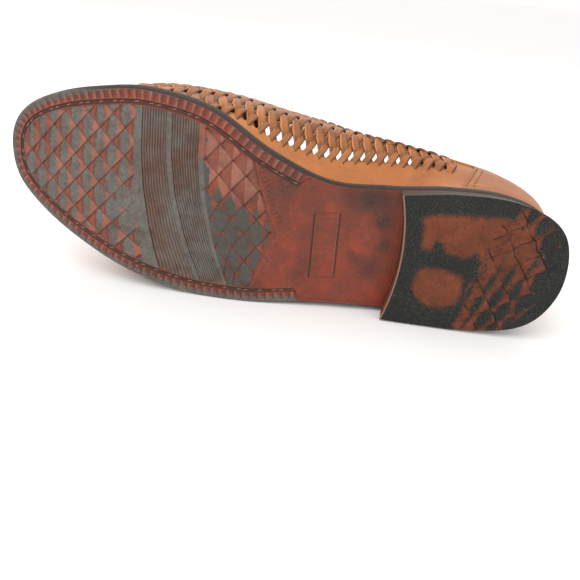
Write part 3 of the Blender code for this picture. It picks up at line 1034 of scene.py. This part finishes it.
# the heel: its bare places, and the scored zone behind them, are given by their corners
heel = {
    "across": 96,
    "share": 110,
    "field": {"node": (31.05, 12.4), "half": (7.15, 6.95), "lean": 0},
    "skew": 0.19,
    "deep": 0.75,
    "scoreDeep": 0.3,
    "edge": (0.5, 0.12),  # how far the tread's outline rises, and the line inside it
    "breastEdge": 0.35,
    "bare": (
        (
            (77, 17), (74, 20), (66, 21.5), (59, 23), (50, 25), (40, 26.5), (34, 27), (34, 3), (42, 1.5),
            (45, 6), (51, 2), (60, 2.5), (63.5, 7), (67, 7.5), (69, 1.5), (72, 2), (74.5, 9),
        ),
        (
            (69, -8.5), (60, -7), (50, -8), (46.5, -11), (46.5, -24),
            (52, -27.5), (61, -29), (68, -25), (71.5, -19), (71, -11),
        ),
    ),
    "zone": (
        (42, 6), (40, -4), (43.5, -14), (41.5, -26), (44, -37), (38, -40), (20, -34),
        (6, -12), (4, 12), (12, 27), (24, 35), (31, 33), (33, 27), (38, 25),
    ),
    "worn": (
        (33, -20, 12, 0.30), (27, -3, 7, 0.20), (15, -14, 10, 0.35), (24, -30, 9, 0.4),
        (22, 30, 7, 0.42), (24, 12, 9, -0.25), (14, 22, 6, 0.2),
    ),
    # shares of the height where the wall has a row of points, with a seam pressed in at the third
    "levels": (0.12, 0.5, 0.55, 0.6, 0.97, 1.0),
    "seam": 0.25,
    "smear": 1.6,
}


def insideBy(corners, x, y):
    # how far inside an outline each point is, and below 0 outside it
    far = np.full(x.shape, 1e3)
    for a, b in zip(np.array(corners, float), np.array(corners[1:] + corners[:1], float)):
        way = b - a
        t = np.clip(((x - a[0]) * way[0] + (y - a[1]) * way[1]) / way.dot(way), 0, 1)
        far = np.minimum(far, np.hypot(x - a[0] - t * way[0], y - a[1] - t * way[1]))
    return np.where(insideOf(corners, x, y), far, -far)


def heelSpot(share, across, up):
    hollow = last["heelSkew"] * across - last["heelHollow"] * (1 - across**2)
    x = last["heelFront"] * (1 - np.cos(share * math.pi / 2)) + hollow * share**3
    turn = turnAt(np.maximum(x, 1e-6))
    inner, outer = soleLine(turn)[1], soleLine(-turn)[1]
    y = outer + (inner - outer) * (across + 1) / 2
    top = underside(x, y) - last["gap"]
    flare = 1 + last["heelFlare"] * (1 - up) / 35
    middle = last["heelMiddle"]
    y = middle[1] + (y - middle[1]) * flare
    x = np.where(x < middle[0], middle[0] + (x - middle[0]) * flare, x)
    return np.stack([x, y, top * up], -1)


def makeHeel():
    shares = np.linspace(0, 1, heel["share"])[:, None]
    acrosses = np.concatenate([(-1, -0.985), np.linspace(-0.965, 0.965, heel["across"] - 3), (0.985, 1)])[None, :]
    low = heelSpot(shares, acrosses, 0.0)
    x, y = low[..., 0], low[..., 1]
    a, b, u, v = lozenges(heel["field"], x + heel["skew"] * y, y)
    patch = np.max([insideBy(corners, x, y) for corners in heel["bare"]], 0)
    zone = insideBy(heel["zone"], x, y)
    pattern = step01((zone + 1.0) / 2)
    reach = 0.06 + 0.85 * step01((17 - x + 0.15 * y) / 11)
    reach = np.clip(reach + blobs(heel["worn"], x, y), -0.3, 0.9)
    lens = reach * (1 - 0.55 * v**2) - np.abs(u - 0.12)
    leafy = np.minimum(-lens * 2.6, zone / heel["smear"] * 0.5 + 0.1)
    rear = 0.5 - 0.9 * step01((9 - x) / 6) * step01((0.6 - np.abs(u)) / 0.3)
    bare = np.maximum(patch / heel["smear"] * 0.4, np.where(zone > -2, np.minimum(leafy, rear), -1))
    bare = np.clip(bare, -1, 1)
    hollow = heel["deep"] * np.clip(np.abs(u) - np.maximum(reach, 0), 0, 1)
    deep = pattern * (hollow + heel["scoreDeep"] * grooves(u, v, 6.25)) + 0.12 * step01((patch + 1) / 2)
    deep[:, 0] = deep[:, -1] = heel["edge"][0]
    deep[:, 1] = deep[:, -2] = heel["edge"][1]
    deep[-1, :] = heel["breastEdge"]
    low[..., 2] += deep
    scored = np.where(pattern > 0.5, 1.0, 0.0)
    ones = np.ones(len(shares))
    medialWall = np.stack([heelSpot(shares[:, 0], ones, up) for up in heel["levels"]], 1)
    lateralWall = np.stack([heelSpot(shares[:, 0], -ones, up) for up in heel["levels"][::-1]], 1)
    for seam in (medialWall[:, 2, 1], lateralWall[:, -3, 1]):
        seam -= heel["seam"] * np.sign(seam)
    top = heelSpot(shares, acrosses[:, ::-1], 1.0)
    everything = np.concatenate([low, medialWall, top[:, 1:-1], lateralWall, low[:, :1]], 1)
    columns = low.shape[1]
    rest = np.zeros((len(low), everything.shape[1] - columns))
    values = {"scored": scored, "scoreA": a, "scoreB": b}
    values = {name: np.concatenate([value, rest], 1) for name, value in values.items()}
    values["bare"] = np.concatenate([bare, rest - 1], 1)
    side = np.ones(everything.shape[:2])
    side[:, :columns] = side[:, -1] = 0
    bm = bmesh.new()
    layGrid(bm, everything, side=side, **values)
    # the breast is a wall of its own, so its colour stops at the corner
    foot = everything[-1, :columns]
    rise = heelSpot(1.0, acrosses[0], 1.0) - foot
    rows = np.stack([foot + rise * share for share in (0, 0.08, 0.5, 1)])
    layGrid(bm, rows, side=0.0, bare=-1.0, breast=np.array((0.0, 1, 1, 1))[:, None])
    addPiece("heel_block", bm, heelFinish, ("heel",), sharp=45, weld=2e-3)


# a lip along the breast's foot, and leaning stitches near its top
trim = {
    "lip": (0.12, 0.6),
    "radius": 0.5,
    "level": 0.86,
    "width": 0.96,
    "out": 0.1,
    "pitch": 2.4,
    "lean": 1.5,
    "stitch": (1.1, 0.3, 0.25),
}


def trimBreast():
    acrosses, ones = np.linspace(-1, 1, 60), np.ones(60)
    path = heelSpot(ones, acrosses, 0.0)
    path[:, 0] += trim["lip"][0]
    path[:, 2] += trim["lip"][1]
    bm = bmesh.new()
    layTube(bm, path, trim["radius"], rim=0.9, bare=-1.0, breast=0.5)
    line = heelSpot(ones, acrosses * trim["width"], trim["level"])
    line[:, 0] += trim["out"]
    line = spaced(line, trim["pitch"])
    for spot, way in zip(line[1:-1], np.diff(line, axis=0)[1:]):
        way[2] += trim["lean"]
        bead(bm, spot, way, (1, 0, 0), trim["stitch"], breast=0.0, side=0.0, bare=-1.0)
    addPiece("breast_trim", bm, heelFinish)


makeHeel()
trimBreast()

# the welt
welt = {
    # inset, height above the outsole, and the painted light along the edge: above 0 a painted highlight on its outer
    # face, below 0 painted shade in its groove and round its corners
    "section": (
        (0.6, 0.0, 0), (0.15, 0.15, -0.5), (0.0, 0.45, 0.9), (0.0, 0.75, 0.9), (0.3, 1.0, -1),
        (0.4, 1.3, -1), (0.0, 1.65, 0.1), (0.0, 2.6, 0.1), (0.15, 3.1, -0.8), (0.6, 3.4, -1),
    ),
    "under": 3.5,
    "stitch": (0.95, 0.36, 0.28),
    "pitch": 2.6,
    "sewnFrom": 66,
}


def makeWelt():
    turns = np.interp(np.linspace(0, perimeterFar[-1], 401), perimeterFar, perimeterTurns)
    rows, edgeLight = [], []
    full = ((None, 0.0, 0),) + welt["section"] + ((None, last["welt"], 0), (None, 0.0, 0))
    for inset, up, light in full:
        line = np.stack(soleLine(turns, margin(turns) + welt["under"] if inset is None else inset))
        rows.append(overSole(*line, soleTop + up))
        edgeLight.append(np.full(len(turns), float(light)))
    addGrid("welt_strip", np.array(rows), edge, ("welt",), rim=np.array(edgeLight))


def sewWelt():
    line = soleLine(perimeterTurns, np.maximum(margin(perimeterTurns) * 0.55, 0.75))
    path = overSole(*line, soleTop + last["welt"] + 0.1)
    bm = bmesh.new()
    for _, (spot, way) in stitches(spaced(path, welt["pitch"])):
        if spot[0] > welt["sewnFrom"]:
            bead(bm, spot, way, (0, 0, 1), welt["stitch"], tone=0.6)
    addPiece("welt_stitching", bm, weltThread, sharp=80, weld=0)


makeWelt()
sewWelt()

# the insole
insole = {"inset": 3.9, "round": 0.9, "crown": 1.0}


def makeInsole():
    turns = turnAt(np.linspace(4.5, 295.0, 90))
    rows = []
    share = np.concatenate([(0.0, 0.02), np.linspace(0.06, 0.94, 15), (0.98, 1.0)])
    crown = insole["crown"] * (1 - (2 * share - 1) ** 2) - insole["round"] * (np.abs(2 * share - 1) > 0.99)
    for turn in turns:
        medial, lateral = (np.stack(soleLine(way, margin(way) + insole["inset"])) for way in (turn, -turn))
        line = lateral + (medial - lateral) * share[:, None]
        above = overSole(*line.T, soleTop + last["insole"] + crown)
        below = overSole(*line.T, soleTop)
        rows.append(np.concatenate([above, below[::-3], above[:1]]))
    addGrid("insole_board", np.array(rows), lining, ("insole",), sharp=50)


makeInsole()

# the upper: the plain band and quarters, in one piece of leather, and the strips woven above it
upper = {
    "wall": 1.9,
    "weaveBack": 64.5,  # where the weave starts, above the band
    "backSlope": 2.7,  # mm up for each mm the quarter's front edge runs back
    "tips": np.array(((0, 17.5), (112, 17), (126, 15.2), (141, 13.2), (152, 11.2), (160, 10.2), (180, 10))).T,
    "lowest": 1.6,
    "toeEdge": 287.5,  # x of the band's edge where it crosses over the toe
    "rows": 18,
}
weave = {
    "pitch": 6.54,
    "row": 7.5,
    "hole": 92.0,  # x of one see-through hole of the first row
    "holeUp": 2.9,  # its height above the slit's tip
    "climb": (7.0, 12.8),  # height of the first two rows, the rest being even
    # strips are narrow beside the first row of holes, and full width above it
    "narrow": np.array((
        (60, 4.6), (80, 4.5), (98, 4.0), (112, 3.6), (125, 3.4), (158, 3.4), (170, 3.9), (190, 4.4), (300, 4.6),
    )).T,
    # width at rows above the band, of the strips leaning to the heel and of those leaning to the toe
    "heelward": np.array(((0, 0), (0.55, 5.9), (1.1, 5.6), (1.5, 4.4), (2.0, 5.0), (2.6, 5.7), (30, 5.7))).T,
    "toeward": np.array(((0, 0), (0.55, 5.2), (1.1, 4.8), (1.5, 4.1), (2.0, 4.4), (2.6, 5.7), (30, 5.7))).T,
    "thick": 1.3,
    "bob": 0.62,
    "rise": 0.2,
    "lift": 0.55,  # how far the lower edge of a heelward strip stands up at the band
    "front": 290.5,
}

# the topline: a cord that each strip is folded over, and a folded edge round the back
topline = {
    "cord": 1.4,
    "pitch": 6.54,
    "sink": 3.0,  # how far the cord lies below the collar, and inside it
    "inward": 1.6,
    "throatFrom": 172.0,
    # each strip's fold over the cord: where it runs along it, in pitches towards the toe, and its angles
    "head": {
        "radius": (2.05, 2.3), "width": 4.1, "thick": 1.2, "steps": 11, "shade": 0.38,
        "angles": (-50, 190), "run": ((0, 1), (0, 0.06)),
    },
    # the shade of heads and arcs is painted shade, heavier on the arcs, which turn away from the light
    "arc": {
        "radius": (1.9, 3.5), "width": 3.7, "thick": 1.5, "steps": 17, "shade": 0.78,
        "angles": (-40, 205), "run": ((0, 0.16, 0.62, 1), (0, 0.05, 0.85, 1.0)),
    },
    "foldBack": 62.0,
    "fold": 1.2,
    "edges": ((0.0, 0.5), (1.7, 0.34)),  # how far back each bead of the quarter's front edge is, and its radius
}
stripEnds = {side: {1: [], -1: []} for side in (1, -1)}


def weaveRows(side):
    # how many rows of crossings lie between the slits and the ridge at the throat, and their height in all
    full = wallHeight(walls[side], last["throat"]) - upper["tips"][1][-1] - weave["holeUp"]
    return int(round(full / weave["row"])), full


def slitTips(side, x):
    past = wallHeight(walls[side], np.maximum(x, last["throat"])) - weaveRows(side)[1] - weave["holeUp"]
    return np.where(x < last["throat"], np.interp(x, *upper["tips"]), past)


def collarPath(side):
    turns = side * np.linspace(0.0, ridgeTurn(last["throat"]), 260)
    return upperPoint(turns, np.array([collarRise(turn) for turn in turns]))


collars = {side: collarPath(side) for side in (1, -1)}


def collarHeight(side):
    # x and the collar's arc length up the wall, at each cross-section
    wall, ups = walls[side], []
    for x, _, z in collars[side]:
        if x >= 22:
            i = int(round(x - wall["x"][0]))
            far = np.linspace(0, wall["height"][i], wallSteps + 1)
            ups.append((x, np.interp(z, wall["points"][i, :, 2], far)))
    return np.array(ups).T


collarUps = {side: collarHeight(side) for side in (1, -1)}


def quarterEdge(v):
    # x of the quarter's front edge at a height, running back as it rises
    return upper["weaveBack"] - np.maximum(v - upper["tips"][1][0], 0) / upper["backSlope"]


def makeQuarters():
    half = turnAt(np.concatenate([
        np.linspace(0, 36, 26), np.linspace(37, 66, 60), np.linspace(68, 290, 90), np.linspace(291, 300, 8),
    ]))
    turns = np.concatenate([half, 2 * math.pi - half[-2::-1]])
    rises = np.linspace(0, 2, 121)
    shape = upperPoint(turns[:, None], rises[None, :])
    outer, inner, shades = [], [], []
    for turn, line in zip(turns, shape):
        far = along(line)
        sideX = float(sideLine(turn)[0])
        top = np.interp(collarRise(turn), rises, far)
        tip = max(float(slitTips(1 if turn <= math.pi else -1, sideX)) + 0.35, upper["lowest"])
        edgeTop = tip if sideX > upper["weaveBack"] else 17.8 + (upper["weaveBack"] - sideX) * upper["backSlope"]
        overToe = np.interp(-upper["toeEdge"], -line[:, 0], far)
        up = np.linspace(0, min(top, max(edgeTop, overToe)), upper["rows"])
        at = np.interp(up, far, rises)
        outer.append(upperPoint(turn, at))
        inner.append(upperPoint(turn, at, np.full(len(at), -upper["wall"])))
        # painted shade, darker towards the heel and along the foot
        shades.append(0.34 * np.clip((95 - sideX) / 20, 0, 1) + 0.25 * np.clip(1 - up / 2.2, 0, 1))
    outer, inner = np.array(outer), np.array(inner)
    section = closed(outer, inner)
    # painted shade on the inner face
    shade = closed(np.array(shades), np.full(inner.shape[:2], 0.3))
    section[-1], shade[-1] = section[0], shade[0]
    addGrid("quarters_and_band", section, leather, ("upper",), sharp=50, weld=1e-3, shade=shade)


def climb(above, full, count):
    # height above the first crossing, row by row
    first, second = weave["climb"]
    return np.interp(above, (-1, 0, 1, 2, count), (-first, 0, first, first + second, full))


def sway(above, way):
    # half pitches run sideways: between the first rows the heelward strips move early, the others late
    share = np.clip(above - 1, 0, 1)
    early = 1 - (1 - share) ** 2.2 if way == 1 else share**2.2
    return np.where(above < 1, above, np.where(above < 2, 1 + early, above))


def layWeave(bm, side):
    wall = walls[side]
    count, full = weaveRows(side)
    pitch = weave["pitch"]
    origin = weave["hole"] - (count + 1) * pitch / 2
    collarX, collarV = collarUps[side]
    above = count - np.arange(0, count + 0.9, 0.125)
    first = int((40 - origin - count * pitch) // pitch)
    final = int((weave["front"] - origin + count * pitch) // pitch) + 1
    for way in (1, -1):
        for k in range(first, final):
            x = origin + k * pitch + way * (count - sway(above, way)) * pitch / 2
            v = slitTips(side, x) + weave["holeUp"] + climb(above, full, count)
            cap = np.where(x < last["throat"], np.interp(x, collarX, collarV) - 1.6, 999)
            ok = (x > quarterEdge(v) - 1.2) & (x < weave["front"]) & (v > -0.6)
            ok &= (v < cap) & (v <= wallHeight(wall, x) + 0.01)
            turns = np.flatnonzero(np.diff(np.concatenate([(0,), ok, (0,)])))
            for start, end in zip(turns[::2], turns[1::2]):
                if end - start < 5:
                    continue
                layOneStrip(bm, wall, x[start:end], v[start:end], above[start:end], way)
                if start > 0 and x[start] < topline["throatFrom"] and v[start - 1] >= cap[start - 1]:
                    stripEnds[side][way].append(float(x[start]))


def layOneStrip(bm, wall, x, v, above, way):
    free = np.clip((above + 0.5) / 0.75, 0, 1) * np.clip((upper["toeEdge"] + 0.5 - x) / 2.5, 0, 1)
    over = np.cos(math.pi * above) * way
    out = -0.95 + free * (0.95 + weave["rise"] + weave["bob"] * over)
    narrow = np.interp(x, *weave["narrow"])
    wide = np.interp(above, *weave["heelward" if way == 1 else "toeward"])
    width = narrow + np.maximum(wide - narrow, 0) * step01(above / 0.5)
    # they widen away from the holes beside the band
    x = x + way * (width - narrow) * 0.5 * step01((1.45 - above) / 0.5)
    spot, normal = wallFrame(wall, x, np.maximum(v, 0.0))
    width = width * (1 + 0.04 * np.sin(above * 2 + x[0])) + 0.8 * step01((-0.25 - above) / 0.4)
    roll = np.zeros(len(x))
    if way == 1:
        # the heelward strips lie over the others where they leave the band
        near = step01((0.75 - above) / 0.5)
        out += near * np.clip(above + 0.62, 0, 0.6) * 0.7
        roll = near * step01((above + 0.66) / 0.2) * weave["lift"]
    # painted shade where a strip dips under another, with a random tone per strip
    shade = 0.42 + 0.36 * (1 - over) / 2 * free + 0.14 * math.sin(x[0] * 1.3)
    side = wall["side"]
    layStrip(bm, spot + normal * out[:, None], normal, width, weave["thick"], shade, roll * side, -side)


def makeWeave():
    for side, name in ((1, "woven_strips_medial"), (-1, "woven_strips_lateral")):
        bm = bmesh.new()
        layWeave(bm, side)
        addPiece(name, bm, leather, ("upper",))


def toplinePath():
    whole = spaced(np.concatenate([collars[1], collars[-1][-2::-1]]), 0.35)
    for _ in range(30):
        whole[1:-1] = (whole[:-2] + 2 * whole[1:-1] + whole[2:]) / 4
    way = heading(whole)
    out = np.cross((0, 0, 1.0), way)
    out /= np.linalg.norm(out, axis=1, keepdims=True)
    whole += (0, 0, -topline["sink"]) - out * topline["inward"]
    keep = whole[:, 0] > topline["foldBack"]
    return whole[keep], out[keep], np.cross(way, out)[keep]


def wrapTopline():
    path, out, up = toplinePath()
    bm = bmesh.new()
    # the cord carries painted shade
    layTube(bm, spaced(path, 1.2), topline["cord"], 8, shade=0.9)
    far, middle = along(path), len(path) // 2
    facetLight = {1: slice(None, middle), -1: slice(None, middle, -1)}

    def reached(x, side):
        return np.interp(x, path[facetLight[side], 0], far[facetLight[side]])

    # where each strip reaches the cord, counted along it, and which way the toe is
    heads, arcs = [], []
    for side in (1, -1):
        for way, spots in ((-1, heads), (1, arcs)):
            spots += [(reached(x, side), side) for x in stripEnds[side][way]]
    starts = [reached(topline["throatFrom"], side) for side in (1, -1)]
    count = int(round((starts[1] - starts[0]) / topline["pitch"]))
    for k in range(count):
        at = starts[0] + (starts[1] - starts[0]) * (k + 0.5) / count
        heads.append((at, 1))
        arcs.append((at - topline["pitch"] / 2, 1))
    for spots, kind in ((heads, topline["head"]), (arcs, topline["arc"])):
        share = np.linspace(0, 1, kind["steps"])
        angle = np.radians(kind["angles"][0] + (kind["angles"][1] - kind["angles"][0]) * share)
        for at, side in spots:
            run = at + side * topline["pitch"] * np.interp(share, *kind["run"])
            run = np.clip(run, 0.1, far[-1] - 0.1)
            centre, outward, upward = (
                np.stack([np.interp(run, far, line) for line in values.T], -1) for values in (path, out, up)
            )
            radial = outward * np.cos(angle)[:, None] + upward * np.sin(angle)[:, None]
            low, high = kind["radius"]
            lift = low + (high - low) * np.sin(share * math.pi)[:, None] * (1 + 0.16 * math.sin(at * 2.1))
            width = kind["width"] * (0.72 + 0.28 * np.sin(np.clip(share * 1.2, 0, 1) * math.pi) ** 0.5)
            layStrip(bm, centre + radial * lift, radial, width, kind["thick"], kind["shade"] + 0.1 * math.sin(at))
    addPiece("topline_loops", bm, leather, ("upper",))


def foldQuarterEdge():
    bm = bmesh.new()
    back = np.concatenate([collars[-1][::-1], collars[1][1:]])
    back = spaced(back[back[:, 0] < topline["foldBack"] + 3], 1.5)
    back[:, 2] -= 0.5
    layTube(bm, back, topline["fold"], 10, shade=0.05)
    for side in (1, -1):
        cap = float(np.interp(topline["foldBack"] - 6, *collarUps[side])) - 1.0
        v = np.linspace(16.5, cap, 34)
        for shift, radius in topline["edges"]:
            spot, normal = wallFrame(walls[side], quarterEdge(v) - shift, v)
            layTube(bm, spot + normal * 0.12, radius, 8, shade=0.1)
    addPiece("quarter_folds", bm, leather, ("upper",), sharp=70)


makeQuarters()
makeWeave()
wrapTopline()
foldQuarterEdge()

# the back counter with its two rows of stitches
counter = {
    "start": 0.02,
    "below": 0.02,
    "foot": 58.0,
    "top": 50.0,
    "off": 0.15,
    "thick": 1.15,
    "skived": 0.62,  # share of the thickness left at its edges
    "reach": 68.0,  # length round the counter from its middle to its edge
    "rows": (1.3, 3.6),
    "stitch": (0.5, 0.55, 0.3),
    "pitch": 3.0,
}


def counterSpot(share, level, out):
    foot, top = float(turnAt(counter["foot"])), float(turnAt(counter["top"]))
    rises = counter["start"] + (collarRise(foot) - counter["start"]) * np.linspace(0, 1, 12)
    heights = upperPoint(foot, rises)[:, 2]
    lean = np.interp(level, np.linspace(0, 1, 12), (heights - heights[0]) / (heights[-1] - heights[0]))
    turn = share * (foot + (top - foot) * lean)
    rise = counter["start"] + (collarRise(turn) - counter["below"] - counter["start"]) * level
    return upperPoint(turn, rise, np.array(out))


def counterOut(level):
    # how far out the leather's face is, thinner at its foot
    return counter["off"] + counter["thick"] * min(1, 0.15 + level * 5)


def makeCounter():
    shares = np.concatenate([np.linspace(-1, -0.95, 3), np.linspace(-0.9, 0.9, 41), np.linspace(0.95, 1, 3)])
    levels = np.linspace(0, 1, 25)
    outer, inner = [], []
    for share in shares:
        thin = counter["skived"] if abs(share) == 1 else 1
        outs = [counter["off"] + (counterOut(level) - counter["off"]) * thin for level in levels]
        outer.append([counterSpot(share, level, out) for level, out in zip(levels, outs)])
        inner.append([counterSpot(share, level, counter["off"] - 0.5) for level in levels])
    # painted shade, stronger at the skived edges and along the foot
    shade = np.where(np.abs(shares) > 0.98, 0.62, 0.42)[:, None] + 0.7 * (levels < 0.03)
    shade, section = closed(shade, shade), closed(np.array(outer), np.array(inner))
    addGrid("counter_overlay", section, leather, ("back_counter",), sharp=50, weld=1e-3, shade=shade)


def sewCounter():
    bm = bmesh.new()
    levels = np.linspace(0.02, 0.97, 120)
    for side in (1, -1):
        for inset in counter["rows"]:
            shares = [side * (1 - off / counter["reach"]) for off in (inset, inset + 1)]
            line, beside = (
                np.array([counterSpot(share, level, counterOut(level)) for level in levels]) for share in shares
            )
            for _, (spot, way) in stitches(spaced(line, counter["pitch"])):
                towards = beside[np.argmin(np.linalg.norm(beside - spot, axis=1))] - spot
                bead(bm, spot, way, np.cross(way, towards) * side, counter["stitch"], tone=0.0)
    addPiece("counter_stitching", bm, counterThread, sharp=80, weld=0)


makeCounter()
sewCounter()

# the lining inside the quarters
liner = {"front": 84, "levels": (0.03, 0.985, 16), "lowFrom": 50, "lowTop": 1.62, "fall": 0.011, "off": (0.1, 0.9)}


def makeLining():
    half = turnAt(np.concatenate([np.linspace(0.3, 36, 22), np.linspace(38, liner["front"], 24)]))
    levels = np.linspace(*liner["levels"])
    rows = []
    for turn in np.concatenate([-half[::-1], half]):
        top = collarRise(turn)
        sideX = float(sideLine(turn)[0])
        if sideX > liner["lowFrom"]:
            top = min(top, liner["lowTop"] - (sideX - liner["lowFrom"]) * liner["fall"])
        outer, inner = (upperPoint(turn, levels * top, -upper["wall"] - off) for off in liner["off"])
        rows.append(np.concatenate([outer, inner[::-1], outer[:1]]))
    addGrid("quarter_lining", np.array(rows), lining, sharp=50, weld=1e-3)


makeLining()


def makeFloor():
    bm = bmesh.new()
    bmesh.ops.create_grid(bm, x_segments=1, y_segments=1, size=40.0)
    mesh = bpy.data.meshes.new("floor")
    bm.to_mesh(mesh)
    bm.free()
    mesh.materials.append(paleFloor())
    floor = bpy.data.objects.new("floor", mesh)
    bpy.context.scene.collection.objects.link(floor)


makeFloor()
print("done")
